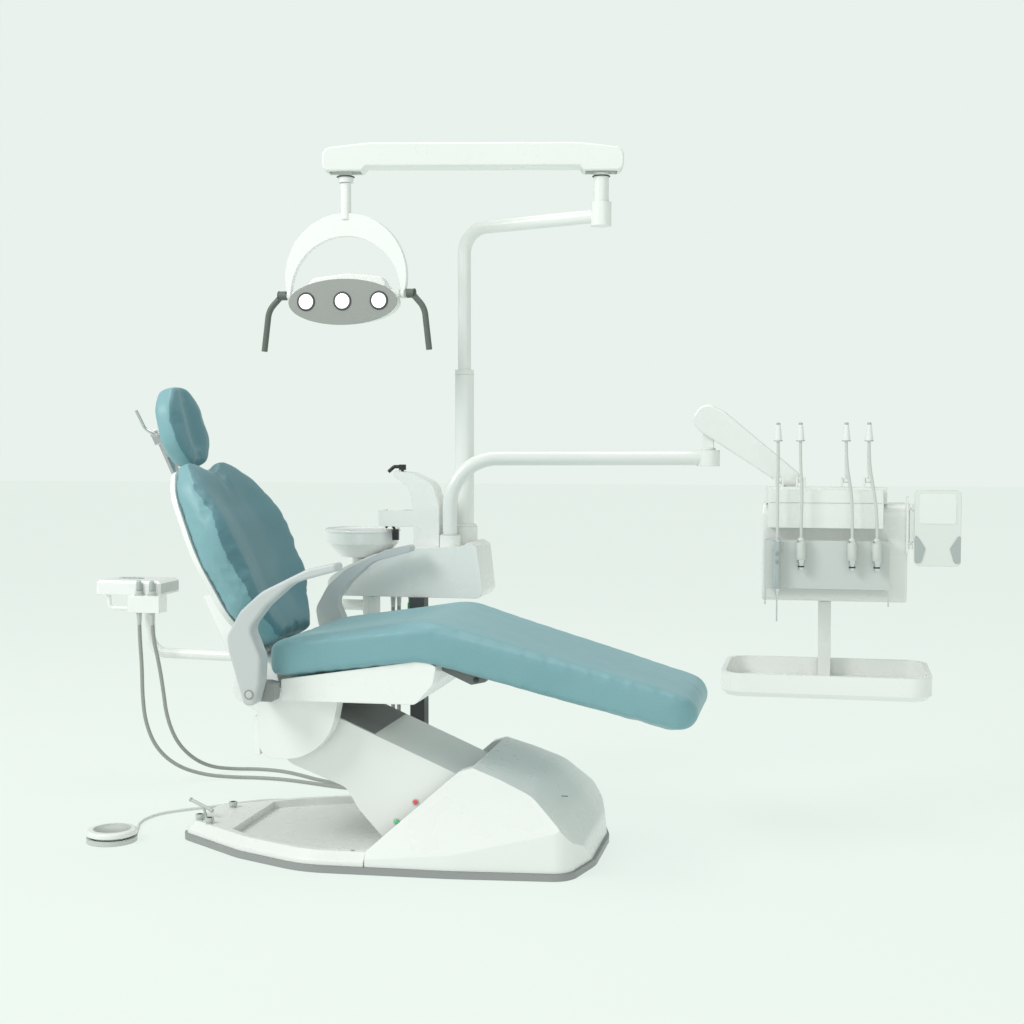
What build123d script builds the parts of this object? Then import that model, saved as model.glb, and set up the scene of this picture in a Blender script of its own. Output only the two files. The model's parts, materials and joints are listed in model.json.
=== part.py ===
from build123d import *
import math
import os

# Dental chair with a cuspidor unit, an operating lamp, an instrument console and an assistant's element.
# Millimetres. Origin on the floor in the middle of the four floor anchors, +X towards the patient's feet,
# +Y towards the patient's left, where the cuspidor unit stands, +Z up.

os.makedirs("parts", exist_ok=True)

# ---- floor plate and covers
PLATE_T = 16
PLATE_SIDE = [(-540, 92, 45), (-340, 226, 200), (-150, 306, 250), (200, 290, 700), (474, 258, 60), (512, 110, 160)]
ANCHOR_X = 560
ANCHOR_Y = 300
ANCHOR_HOLE_R = 7
COVER_INSET = 6
DECK_TOP = 46
DECK_END_X = -3
BASIN_FLOOR = 28
NOSE_TOP_HALF = 166
NOSE_WALL = 4
NOSE_MOUTH_X = 228

# ---- lift: a parallelogram of the arm and a rod
ARM_FOOT = (225, 118)
ARM_HEAD = (-195, 300)
ROD_OFFSET = (0, -45)
ARM_HALF = 140
ARM_WALL = 5
ARM_SHAFT_R = 14
ROD_PIN_R = 7
FIT = 0.05

# ---- seat and back
CARRIAGE_IN = 160
CARRIAGE_OUT = 206
RECLINE_AXIS = (-318, 415)
RECLINE_SHAFT_R = 12
DRUM_R = 57
DRUM_HALF = 150
BACK_LEAN = 25
SEAT_HALF = 262
SKIRT_HALF = 240
BACK_HALF = 238
CUSHION_FRONT = 104
CUSHION_REAR = 20
BAR_DEPTH = -34
HEAD_PIVOT_U = 677
HEAD_CENTRE = (-570, 1030)
HEAD_LEAN = 15
HEAD_HALF_T = 28
ARMREST_Y = (285, 333)
ARMREST_PIVOT = (-262, 414)

# ---- cuspidor unit
UNIT_Y = (366, 590)
UNIT_FLOOR = 572
COLUMN_AT = (-52, 372)
POLE_AT = (45, 500)
POLE_R = 26
POST_AT = (23, 420)
POST_R = 20
BOWL_AT = (-242, 470)
BOWL_R = 104
BOWL_TOP = 753
ASSIST_AT = (-205, 430)

# ---- operating lamp
LAMP_TUBE_R = 18
LAMP_SLEEVE_Z = 1180
LAMP_ARM_Z = 1582
LAMP_ELBOW = (445, 380)
LAMP_HANGER = (-215, 250)
BAR_PIVOT_Z = 1735
HEAD_AXIS_Z = 1384
YOKE_HALF = 157

# ---- instrument delivery
ARM_Z = 950
KNUCKLE_AT = (711, 612)
TILT_Z = 1050
STEM_AT = (933, 612)
STEM_PIVOT_Z = 893
CONSOLE_X = (862, 1244)
VIEWER_HINGE = (1252, 528)
HOSE_X = (906, 968, 1100, 1163)
WHIP_X = (906, 964, 1082, 1140)
WHIP_Y = 556
WHIP_PIVOT_Z = 892
HANG_Y = 466
PANEL_Y = 486
TRAY_AXIS = (1030, 640)

# ---- foot controls
JOYSTICK_AT = (-492, -52, 43)
FOOT_BUTTONS = {"foot_button_near": (-462, -104), "foot_button_rear": (-500, -76), "foot_button_far": (-468, 62)}

# ---- hoses
PEDAL_AT = (-705, -145)
PEDAL_HOSE_R = 4
SUCTION_HOSE_R = 5.5
HANDPIECE_HOSE_R = 4


def box(x0, x1, y0, y1, z0, z1):
    return Pos((x0 + x1) / 2, (y0 + y1) / 2, (z0 + z1) / 2) * Box(x1 - x0, y1 - y0, z1 - z0)


def rod(start, end, radius):
    span = Vector(*end) - Vector(*start)
    at = Plane(origin=start, z_dir=span)
    return at * Cylinder(radius, span.length, align=(Align.CENTER, Align.CENTER, Align.MIN))


def post(at, z0, z1, radius):
    return rod((at[0], at[1], z0), (at[0], at[1], z1), radius)


def cross_rod(at, y0, y1, radius):
    return rod((at[0], y0, at[1]), (at[0], y1, at[1]), radius)


def outline(points):
    """A closed outline of (x, y, corner radius)."""
    spots = [(p[0], p[1]) for p in points]
    return make_face(FilletPolyline(*spots, radius=[p[2] for p in points], close=True))


def side_plate(points, y0, y1):
    """A side view of (x, z, corner radius), as thick as from y0 to y1."""
    return Plane(origin=(0, y1, 0), x_dir=(1, 0, 0), z_dir=(0, -1, 0)) * extrude(outline(points), y1 - y0)


def plan_plate(points, z0, z1):
    return Pos(0, 0, z0) * extrude(outline(points), z1 - z0)


def mirrored(side):
    """Both sides of a plan whose left half is given."""
    return side + [(x, -y, r) for x, y, r in reversed(side)]


def bent_tube(points, radii, radius):
    """A round tube along straight runs joined by arcs."""
    path = FilletPolyline(*points, radius=radii) if radii else Polyline(*points)
    start = Plane(origin=path @ 0, z_dir=path % 0)
    return sweep(start * Circle(radius), path=path)


def hose_radii(points):
    """Each arc is as large as its two runs allow."""
    radii = []
    for before, corner, after in zip(points, points[1:], points[2:]):
        come = Vector(*corner) - Vector(*before)
        go = Vector(*after) - Vector(*corner)
        turn = math.radians(come.get_angle(go))
        radii.append(0.45 * min(come.length, go.length) / math.tan(turn / 2))
    return radii


def hose(name, points, radius):
    radii = hose_radii(points)
    tube = bent_tube(points, radii, radius)
    length = FilletPolyline(*points, radius=radii).length
    share = tube.volume / (math.pi * radius**2 * length)
    print(name, "length", round(length), "radii", [round(r) for r in radii], "volume share", round(share, 3))
    return tube


def write(name, shape):
    solids = shape.solids()
    export_step(solids[0] if len(solids) == 1 else Compound(children=list(solids)), f"parts/{name}.step")


# ======================================================================= floor plate and covers

def plate_plan(inset):
    face = outline(mirrored(PLATE_SIDE))
    return offset(face, -inset) if inset else face


def base_plate():
    plate = extrude(plate_plan(0), PLATE_T)
    column_tab = box(-112, 8, 250, 402, 0, PLATE_T)
    hose_inlet = box(-200, -150, 250, 328, 1, 15)
    plate = plate + column_tab + hose_inlet
    for x in (-ANCHOR_X / 2, ANCHOR_X / 2):
        for y in (-ANCHOR_Y / 2, ANCHOR_Y / 2):
            plate -= post((x, y), -1, PLATE_T + 1, ANCHOR_HOLE_R)
    for y in (-158, 146):
        lug = [(175, PLATE_T, 0), (285, PLATE_T, 0), (250, 142, 20), (200, 142, 20)]
        plate += side_plate(lug, y, y + 12)
    plate += cross_rod(ARM_FOOT, -158, 158, ARM_SHAFT_R)
    pin = (ARM_FOOT[0] + ROD_OFFSET[0], ARM_FOOT[1] + ROD_OFFSET[1])
    plate += side_plate([(205, PLATE_T, 0), (245, PLATE_T, 0), (242, 88, 14), (208, 88, 14)], 94, 104)
    plate += cross_rod(pin, 74, 96, ROD_PIN_R)
    return plate


def deck_cover():
    cover = Pos(0, 0, PLATE_T + 0.3) * extrude(plate_plan(COVER_INSET), DECK_TOP - PLATE_T)
    cover = chamfer(cover.faces().sort_by(Axis.Z)[-1].edges(), 20)
    basin = Pos(0, 0, BASIN_FLOOR) * extrude(plate_plan(44), 60)
    cover -= basin & box(-385, 600, -400, 400, 0, 120)
    hollow = extrude(plate_plan(COVER_INSET + 8), BASIN_FLOOR - 5)
    cover -= hollow
    return cover - box(DECK_END_X, 600, -400, 400, 0, 120)


def nose_form(inset):
    """The hood: a side view and a plan that leans in towards the top."""
    i = inset
    side = [(0, 0, 0), (0, 50, 6), (200, 226 - i, 10), (232, 236 - i, 10), (300, 214 - i, 80)]
    side += [(380, 182 - i, 100), (445, 122 - i, 90), (492 - i, 60, 60), (508 - i, 0, 0)]
    body = side_plate(side, -320, 320)
    low = offset(outline(mirrored(PLATE_SIDE)), -COVER_INSET - i)
    low = low & make_face(Polyline((-60, -400), (700, -400), (700, 400), (-60, 400), close=True))
    foot = Pos(-60, 0, 0) * Rectangle(700, 620 - 2 * i, align=(Align.MIN, Align.CENTER))
    top = Pos(-60, 0, 285) * Rectangle(700, 2 * (NOSE_TOP_HALF - i), align=(Align.MIN, Align.CENTER))
    spread = loft([foot, top])
    return body & extrude(low, 300) & spread


def nose_cover():
    gap = ARM_HALF + 22
    room = box(NOSE_MOUTH_X + 5, 600, -400, 400, -1, 400) + box(150, 600, -gap, gap, -1, 400)
    cover = nose_form(0) - (nose_form(NOSE_WALL) & room)
    cover -= box(-20, NOSE_MOUTH_X, -gap, gap, -1, 300)
    return cover - box(-100, 700, -400, 400, -10, PLATE_T + 0.3)


def lift_actuator():
    """The motor and its gearbox inside the hood, with the screw tube that pushes the arm."""
    motor = box(345, 425, -62, 18, 17, 112)
    gearbox = box(345, 455, 20, 60, 17, 90)
    screw = rod((346, -22, 64), (300, -22, 56), 16)
    return motor + gearbox + screw


# ======================================================================= lift

def lift_arm():
    """An arm of channel section: two sides, a top skin and closed ends, open below."""
    side = [(-262, 318, 45), (-216, 362, 60), (-100, 327, 30), (296, 160, 60), (262, 60, 50), (8, 36, 20),
            (-62, 112, 50), (-93, 163, 40), (-252, 222, 50)]
    arm = side_plate(side, -ARM_HALF, ARM_HALF)
    w = ARM_WALL
    void = [(-254, 316, 40), (-214, 356 - w, 55), (-100, 320 - w, 30), (400, 104, 0), (300, -60, 0), (-20, -60, 0),
            (-100, 100, 0), (-300, 170, 0)]
    arm -= side_plate(void, -ARM_HALF + w, ARM_HALF - w)
    for at in (ARM_FOOT, ARM_HEAD):
        arm += cross_rod(at, -ARM_HALF, -ARM_HALF + 30, 30) + cross_rod(at, ARM_HALF - 30, ARM_HALF, 30)
        arm -= cross_rod(at, -ARM_HALF - 1, ARM_HALF + 1, ARM_SHAFT_R + FIT)
    return arm


def parallel_rod():
    """The lower link; its top eye is left clear of the carriage's pin."""
    low = (ARM_FOOT[0] + ROD_OFFSET[0], ARM_FOOT[1] + ROD_OFFSET[1])
    top = (ARM_HEAD[0] + ROD_OFFSET[0], ARM_HEAD[1] + ROD_OFFSET[1])
    bar = rod((low[0], 84, low[1]), (top[0], 84, top[1]), 6.5)
    eyes = cross_rod(low, 76, 92, 16) + cross_rod(top, 76, 92, 16)
    return bar + eyes - cross_rod(low, 70, 98, ROD_PIN_R + FIT) - cross_rod(top, 70, 98, ROD_PIN_R + 2)


def seat_carriage():
    """The casting on top of the arm: two cheeks, a frame plate, the seat pan and both shafts."""
    cheek = [(-296, 402, 20), (-88, 402, 0), (-118, 240, 130), (-286, 240, 34)]
    ear = [(-358, 384, 30), (-358, 452, 30), (-262, 402, 0), (-262, 330, 0)]
    carriage = box(-212, 98, -230, 230, 392, 402)
    for y0, y1 in ((-CARRIAGE_OUT, -CARRIAGE_IN), (CARRIAGE_IN, CARRIAGE_OUT)):
        carriage += side_plate(cheek, y0, y1) + side_plate(ear, y0 + 8, y1 - 8)
    carriage += box(-306, -290, -CARRIAGE_OUT + 8, CARRIAGE_OUT - 8, 246, 338)
    carriage += cross_rod(ARM_HEAD, -CARRIAGE_IN - 20, CARRIAGE_IN + 20, ARM_SHAFT_R)
    carriage += cross_rod(RECLINE_AXIS, -CARRIAGE_IN - 20, CARRIAGE_IN + 20, RECLINE_SHAFT_R)
    top = (ARM_HEAD[0] + ROD_OFFSET[0], ARM_HEAD[1] + ROD_OFFSET[1])
    crank = [(ARM_HEAD[0] - 22, ARM_HEAD[1], 16), (ARM_HEAD[0], ARM_HEAD[1] + 24, 16),
             (ARM_HEAD[0] + 24, ARM_HEAD[1] + 2, 12), (top[0] + 14, top[1] - 4, 10), (top[0] - 4, top[1] - 14, 10)]
    carriage += side_plate(crank, 58, 70) + cross_rod(top, 60, 94, ROD_PIN_R)
    pan = [(-206, 432, 0), (120, 483, 0), (120, 475, 0), (-206, 424, 0)]
    carriage += side_plate(pan, -228, 228)
    carriage += box(-150, -130, -200, 200, 400, 434) + box(60, 80, -200, 200, 400, 470)
    return carriage


def seat_cover():
    """The white skirt around the seat frame."""
    side = [(-219, 386, 4), (108, 388, 18), (150, 436, 10), (158, 478, 8), (128, 491, 20), (-219, 437, 4)]
    inner = [(-300, 300, 0), (104, 300, 0), (104, 392, 16), (146, 438, 10), (153, 474, 0), (153, 560, 0),
             (-300, 560, 0)]
    cover = side_plate(side, -SKIRT_HALF, SKIRT_HALF) - side_plate(inner, -SKIRT_HALF + 4, SKIRT_HALF - 4)
    return cover


def seat_cushion():
    side = [(-258, 437, 18), (129, 494, 90), (744, 324, 34), (772, 396, 40), (130, 575, 130), (-258, 517, 26)]
    plan = [(-258, 260, 45), (125, SEAT_HALF, 300), (772, 176, 85)]
    cushion = side_plate(side, -SEAT_HALF, SEAT_HALF) & plan_plate(mirrored(plan), 250, 650)
    return Pos(0, 0, 0.6) * cushion


def armrest(sign):
    """A curved arm that rises from its foot on the seat bracket and sweeps forward."""
    side = [(-276, 388, 12), (-252, 388, 10), (-238, 440, 20), (-234, 500, 40), (-262, 566, 30), (-222, 618, 60),
            (-160, 672, 90), (-52, 702, 4), (-50, 722, 8), (-122, 706, 90), (-232, 652, 90), (-284, 606, 60),
            (-318, 545, 40), (-312, 510, 60)]
    y0, y1 = ARMREST_Y
    arm = side_plate(side, y0, y1)
    arm = fillet(arm.faces().sort_by(Axis.Y)[-1].edges(), 7)
    arm -= cross_rod(ARMREST_PIVOT, y0 - 1, y0 + 30, 8 + FIT)
    return arm if sign > 0 else mirror(arm, Plane.XZ)


def armrest_brackets():
    """The blocks that carry the armrest pivots at both sides of the seat."""
    block = [(-284, 390, 6), (-222, 390, 6), (-222, 432, 6), (-240, 436, 6), (-284, 436, 6)]
    brackets = side_plate(block, 242, 282) + cross_rod(ARMREST_PIVOT, 280, ARMREST_Y[0] + 28, 8)
    brackets += box(-280, -262, 206, 244, 394, 412)
    return brackets + mirror(brackets, Plane.XZ)


# ======================================================================= back and headrest

def in_back(shape):
    """From the back's own frame, x forward, y across, z up along the back, to its leaning place."""
    return Pos(RECLINE_AXIS[0], 0, RECLINE_AXIS[1]) * Rot(0, -BACK_LEAN, 0) * shape


def back_slab(inset, front, rear, z_low):
    """The back's outline, narrow below, widest at the elbows and notched on top."""
    i = inset
    plan = [(z_low, 120 - i, 50), (170 + i / 2, 205 - i, 120), (330, BACK_HALF - i, 260), (500 - i / 2, 200 - i, 120),
            (566 - i, 132 - i / 2, 55), (568 - i, 84 - i / 2, 50)]
    face = outline(plan + [(534 - i, 0, 60)] + [(z, -y, r) for z, y, r in reversed(plan)])
    lying = extrude(face, front - rear)
    return Plane(origin=(rear, 0, 0), x_dir=(0, 0, 1), z_dir=(1, 0, 0)) * lying


def back_cushion():
    """Thickest at the waist and thinner towards the top."""
    profile = [(CUSHION_REAR, 50, 0), (CUSHION_REAR, 580, 0), (46, 580, 0), (76, 500, 80), (CUSHION_FRONT, 390, 200),
               (CUSHION_FRONT, 230, 200), (84, 50, 0)]
    return in_back(back_slab(0, CUSHION_FRONT, CUSHION_REAR, 62) & side_plate(profile, -BACK_HALF, BACK_HALF))


def back_shell():
    """The rear shell, its hinge drum and the sleeve of the headrest bar."""
    shell = back_slab(14, CUSHION_REAR - 1, 6, 76)
    neck = box(-36, 16, -DRUM_HALF, DRUM_HALF, 20, 240) + box(-20, 10, -120, 120, 240, 300)
    drum = cross_rod((0, 0), -DRUM_HALF, DRUM_HALF, DRUM_R)
    sleeve = box(BAR_DEPTH - 12, 10, -36, 36, 350, 528)
    body = shell + neck + drum + sleeve
    body -= cross_rod((0, 0), -DRUM_HALF - 1, DRUM_HALF + 1, RECLINE_SHAFT_R + FIT)
    body -= box(BAR_DEPTH - 4.05, BAR_DEPTH + 4.05, -20.05, 20.05, 380, 600)
    return in_back(body)


def headrest_bar():
    """The flat bar, its fork and the clamp lever."""
    bar = box(BAR_DEPTH - 4, BAR_DEPTH + 4, -20, 20, 400, HEAD_PIVOT_U - 18)
    pivot = (BAR_DEPTH, HEAD_PIVOT_U)
    fork = box(BAR_DEPTH - 10, BAR_DEPTH + 8, -26, 26, HEAD_PIVOT_U - 26, HEAD_PIVOT_U - 17)
    for y in (-26, 18):
        fork += box(BAR_DEPTH - 10, BAR_DEPTH + 8, y, y + 8, HEAD_PIVOT_U - 18, HEAD_PIVOT_U)
        fork += cross_rod(pivot, y, y + 8, 11)
    pin = cross_rod(pivot, -34, 34, 5)
    lever = bent_tube([(BAR_DEPTH, -32, HEAD_PIVOT_U), (BAR_DEPTH - 14, -34, HEAD_PIVOT_U + 22),
                       (BAR_DEPTH - 16, -34, HEAD_PIVOT_U + 74)], [30], 4)
    return in_back(bar + fork + pin + lever)


def in_head(shape):
    return Pos(HEAD_CENTRE[0], 0, HEAD_CENTRE[1]) * Rot(0, -HEAD_LEAN, 0) * shape


def headrest_mount():
    """The backing plate and the lug that turns on the fork's pin."""
    plate = in_head(box(-HEAD_HALF_T - 6, -HEAD_HALF_T - 0.6, -60, 60, -50, 50))
    lean = math.radians(BACK_LEAN)
    pivot = (RECLINE_AXIS[0] - HEAD_PIVOT_U * math.sin(lean) + BAR_DEPTH * math.cos(lean),
             RECLINE_AXIS[1] + HEAD_PIVOT_U * math.cos(lean) + BAR_DEPTH * math.sin(lean))
    lug = cross_rod(pivot, -17.5, 17.5, 11)
    foot = (HEAD_CENTRE[0] - HEAD_HALF_T - 8, HEAD_CENTRE[1] + 4)
    arm = [(pivot[0], pivot[1] + 10, 0), (foot[0], foot[1] + 14, 0), (foot[0] + 4, foot[1] - 14, 0),
           (pivot[0], pivot[1] - 10, 0)]
    mount = plate + lug + side_plate(arm, -17.5, 17.5)
    return mount - cross_rod(pivot, -20, 20, 5 + FIT)


def headrest_cushion():
    """An egg-shaped pad, wider below, with a shallow channel for the head."""
    egg = outline(mirrored([(-100, 54, 50), (-40, 106, 62), (56, 94, 80), (104, 42, 52)]))
    pad = Plane(origin=(-HEAD_HALF_T, 0, 0), x_dir=(0, 0, 1), z_dir=(1, 0, 0)) * extrude(egg, 2 * HEAD_HALF_T)
    pad = fillet(pad.edges(), 18)
    return in_head(pad)


# ======================================================================= cuspidor unit

def unit_column():
    x, y = COLUMN_AT
    column = box(x - 20, x + 20, y - 22, y + 22, PLATE_T, UNIT_FLOOR)
    return column + box(x - 55, x + 55, y - 26, y + 26, PLATE_T, PLATE_T + 10)


def unit_body():
    """The unit's hollow housing, the spout tower, the cup shelf and the bosses for everything that turns."""
    y0, y1 = UNIT_Y
    side = [(-300, UNIT_FLOOR, 10), (-320, 612, 30), (-262, 652, 60), (-178, 688, 60), (-80, 704, 20), (72, 712, 0),
            (84, 722, 0), (110, 712, 14), (128, 590, 14), (116, UNIT_FLOOR, 10)]
    corner = plan_plate([(140, 512, 0), (140, 640, 0), (-24, 640, 0)], 500, 800)
    body = side_plate(side, y0, y1) - corner
    void = [(-290, UNIT_FLOOR + 5, 0), (-300, 612, 20), (-256, 645, 50), (-178, 680, 50), (-80, 697, 0), (80, 706, 0),
            (96, 706, 0), (116, 590, 0), (108, UNIT_FLOOR + 5, 0)]
    room = side_plate(void, y0 + 8, y1 - 6) - Pos(-5, -6, 0) * corner
    bowl_room = Pos(BOWL_AT[0], BOWL_AT[1], 0) * revolve(Plane.XZ * make_face(Polyline(
        (0, 672), (64, 672), (BOWL_R - 2, 710), (BOWL_R + 2, 800), (0, 800), close=True)), Axis.Z)
    bowl_seat = body & post(BOWL_AT, 640, 800, BOWL_R + 8)
    body = body - room + bowl_seat - bowl_room
    tower = [(-76, 690, 0), (-76, 800, 60), (-88, 868, 40), (-132, 902, 4), (-136, 916, 4), (-80, 908, 60),
             (-22, 880, 40), (-4, 820, 40), (-4, 690, 0)]
    body += side_plate(tower, 405, 478)
    body -= post((-118, 442), 890, 930, 4 + FIT)
    body += box(-176, -70, 405, 478, 762, 806) - box(-170, -112, 412, 471, 800, 810)
    body += post(POLE_AT, 640, 760, POLE_R + 10) + post(POST_AT, 600, 740, POST_R + 9)
    body -= post(POST_AT, 604, 760, POST_R + FIT)
    body -= post(POLE_AT, 644, 790, POLE_R)
    body += post((BOWL_AT[0], BOWL_AT[1]), 600, 670, 30)
    body -= post((BOWL_AT[0], BOWL_AT[1]), 606, 680, 16 + FIT)
    body += post(ASSIST_AT, 508, UNIT_FLOOR + 6, 11)
    return body


def cuspidor_bowl():
    """A round bowl with a rolled rim, a drain and its spigot."""
    x, y = BOWL_AT
    wall = 5
    base = 674
    half = Polyline((0, base), (62, base), (BOWL_R - 4, 712), (BOWL_R, BOWL_TOP), (BOWL_R - wall, BOWL_TOP),
                    (BOWL_R - wall - 5, 716), (60, base + 8), (0, base + 5), close=True)
    bowl = revolve(Plane.XZ * make_face(half), Axis.Z)
    bowl += post((0, 0), 608, base + 2, 16)
    return Pos(x, y, 0) * bowl - post((x, y), 600, base + 20, 9)


def water_spout():
    """The rinse spout, turning on the tip of the tower."""
    foot = post((-118, 442), 917, 932, 10) + post((-118, 442), 892, 918, 4)
    nozzle = bent_tube([(-118, 442, 926), (-142, 442, 926), (-158, 442, 912)], [10], 5)
    return foot + nozzle


def pole_lower():
    return post(POLE_AT, 644, LAMP_SLEEVE_Z, POLE_R) - post(POLE_AT, 900, LAMP_SLEEVE_Z + 1, LAMP_TUBE_R + FIT)


def lamp_pole():
    """The bent tube that turns in the pole and carries the lamp arm's bearing."""
    x, y = POLE_AT
    tube = bent_tube([(x, y, 902), (x, y, LAMP_ARM_Z), (LAMP_ELBOW[0], LAMP_ELBOW[1], LAMP_ARM_Z + 8)], [70],
                     LAMP_TUBE_R)
    collar = post(POLE_AT, LAMP_SLEEVE_Z + 0.3, LAMP_SLEEVE_Z + 14, POLE_R)
    cup = post(LAMP_ELBOW, LAMP_ARM_Z - 20, LAMP_ARM_Z + 42, 27)
    return tube + collar + cup - post(LAMP_ELBOW, LAMP_ARM_Z + 2, LAMP_ARM_Z + 60, 12 + FIT)


def bar_frame(shape):
    """From a frame whose x runs along the lamp bar, from the elbow to the hanger."""
    turn = math.degrees(math.atan2(LAMP_HANGER[1] - LAMP_ELBOW[1], LAMP_HANGER[0] - LAMP_ELBOW[0]))
    return Pos(LAMP_ELBOW[0], LAMP_ELBOW[1], 0) * Rot(0, 0, turn) * shape


BAR_LENGTH = math.dist(LAMP_ELBOW, LAMP_HANGER)


def lamp_elbow():
    """The stem on the tube's end, with the tongue that the bar tilts on."""
    stem = post((0, 0), LAMP_ARM_Z + 4, LAMP_ARM_Z + 44, 12) + post((0, 0), LAMP_ARM_Z + 42.4, 1700, 20)
    tongue = box(-16, 16, -9, 9, 1698, BAR_PIVOT_Z) + cross_rod((0, BAR_PIVOT_Z), -9, 9, 16)
    tongue -= cross_rod((0, BAR_PIVOT_Z), -20, 20, 7 + FIT)
    return bar_frame(stem + tongue)


def lamp_bar():
    """The balanced arm: a long rounded cover with a fork and a pin at each end."""
    n = BAR_LENGTH
    side = [(-58, 1712, 20), (-58, 1762, 24), (60, 1775, 200), (n - 60, 1775, 200), (n + 58, 1762, 24),
            (n + 58, 1712, 20), (n + 44, 1702, 10), (n - 46, 1702, 6), (n - 56, 1714, 6), (56, 1714, 6),
            (46, 1702, 6), (-44, 1702, 10)]
    bar = side_plate(side, -36, 36)
    bar = fillet(bar.faces().sort_by(Axis.Y)[0].edges() + bar.faces().sort_by(Axis.Y)[-1].edges(), 5)
    for x in (0, n):
        bar -= box(x - 42, x + 42, -25, 25, 1690, 1758)
        bar += cross_rod((x, BAR_PIVOT_Z), -30, 30, 7)
    return bar_frame(bar)


def lamp_hanger():
    """The tongue at the bar's far end and the stem that the yoke turns on."""
    n = BAR_LENGTH
    hanger = box(n - 16, n + 16, -9, 9, BAR_PIVOT_Z - 45, BAR_PIVOT_Z) + cross_rod((n, BAR_PIVOT_Z), -9, 9, 16)
    hanger -= cross_rod((n, BAR_PIVOT_Z), -20, 20, 7 + FIT)
    hanger += post((n, 0), 1676, 1692, 20) + post((n, 0), 1640, 1680, 8)
    return bar_frame(hanger)


def lamp_yoke():
    """The stem and the crescent that holds the lamp head at both ends."""
    x, y = LAMP_HANGER
    stem = post((x, y), 1580, 1675.4, 14) - post((x, y), 1638, 1680, 8 + FIT)
    h = YOKE_HALF
    arc_out = ThreePointArc((-h - 4, 1384), (0, 1597), (h + 4, 1384))
    arc_in = ThreePointArc((h - 5, 1384), (0, 1536), (-h + 5, 1384))
    crescent = make_face(Wire([arc_out.edge(), Line(arc_out @ 1, arc_in @ 0).edge(), arc_in.edge(),
                               Line(arc_in @ 1, arc_out @ 0).edge()]))
    bow = Plane(origin=(x, y + 9, 0), x_dir=(1, 0, 0), z_dir=(0, -1, 0)) * extrude(crescent, 18)
    ends = rod((x - h - 4, y, HEAD_AXIS_Z), (x - h + 5, y, HEAD_AXIS_Z), 13)
    ends += rod((x + h - 5, y, HEAD_AXIS_Z), (x + h + 4, y, HEAD_AXIS_Z), 13)
    yoke = stem + bow + ends
    return yoke - rod((x - 300, y, HEAD_AXIS_Z), (x + 300, y, HEAD_AXIS_Z), 7 + FIT)


def ellipse_block(x, y0, y1, z, half_x, half_z):
    return Plane(origin=(x, y1, z), x_dir=(1, 0, 0), z_dir=(0, -1, 0)) * extrude(Ellipse(half_x, half_z), y1 - y0)


def lamp_head():
    """The housing behind the reflector face, with its trunnions."""
    x, y = LAMP_HANGER
    head = ellipse_block(x, y - 30, y + 12, 1362, 146, 56)
    head += ellipse_block(x, y + 11, y + 52, 1385, 118, 52)
    head += box(x - 148, x + 148, y - 10, y + 10, 1374, 1394)
    head += rod((x - 178, y, HEAD_AXIS_Z), (x + 178, y, HEAD_AXIS_Z), 7)
    return head


def lamp_face():
    x, y = LAMP_HANGER
    face = ellipse_block(x, y - 34, y - 30.2, 1362, 149, 60)
    for dx in (-100, 0, 100):
        face -= rod((x + dx, y - 40, 1364), (x + dx, y - 25, 1364), 22)
    return face


def lamp_lenses():
    x, y = LAMP_HANGER
    lenses = [rod((x + dx, y - 35, 1364), (x + dx, y - 30.2, 1364), 21.5) for dx in (-100, 0, 100)]
    return Compound(children=lenses)


def lamp_handles():
    """Two grips that hang from the trunnions."""
    x, y = LAMP_HANGER
    grips = []
    for side in (-1, 1):
        hub = rod((x + side * 166, y, HEAD_AXIS_Z), (x + side * 186, y, HEAD_AXIS_Z), 12)
        grip = bent_tube([(x + side * 182, y, HEAD_AXIS_Z - 2), (x + side * 215, y - 4, 1346),
                          (x + side * 228, y - 6, 1236)], [60], 8)
        socket = rod((x + side * 160, y, HEAD_AXIS_Z), (x + side * 180, y, HEAD_AXIS_Z), 7 + FIT)
        grips.append((hub + grip - socket).solids().sort_by(SortBy.VOLUME)[-1])
    return Compound(children=grips)


# ======================================================================= instrument delivery

def delivery_arm():
    """The bent tube that turns in the unit, with the knuckle's bearing at its end."""
    x, y = POST_AT
    tube = bent_tube([(x, y, 606), (x, y, ARM_Z), (KNUCKLE_AT[0], KNUCKLE_AT[1], ARM_Z)], [130], POST_R)
    end = post(KNUCKLE_AT, ARM_Z - 22, ARM_Z + 22, 32)
    return tube + end - post(KNUCKLE_AT, ARM_Z - 12, ARM_Z + 60, 13 + FIT)


def balance_knuckle():
    """The turning post and the tongue that the balanced arm tilts on."""
    x, y = KNUCKLE_AT
    knuckle = post(KNUCKLE_AT, ARM_Z - 10, ARM_Z + 24, 13) + post(KNUCKLE_AT, ARM_Z + 22.4, TILT_Z - 72, 20)
    knuckle += box(x - 15, x + 15, y - 9, y + 9, TILT_Z - 74, TILT_Z) + cross_rod((x, TILT_Z), y - 9, y + 9, 18)
    return knuckle - cross_rod((x, TILT_Z), y - 12, y + 12, 8 + FIT)


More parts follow.
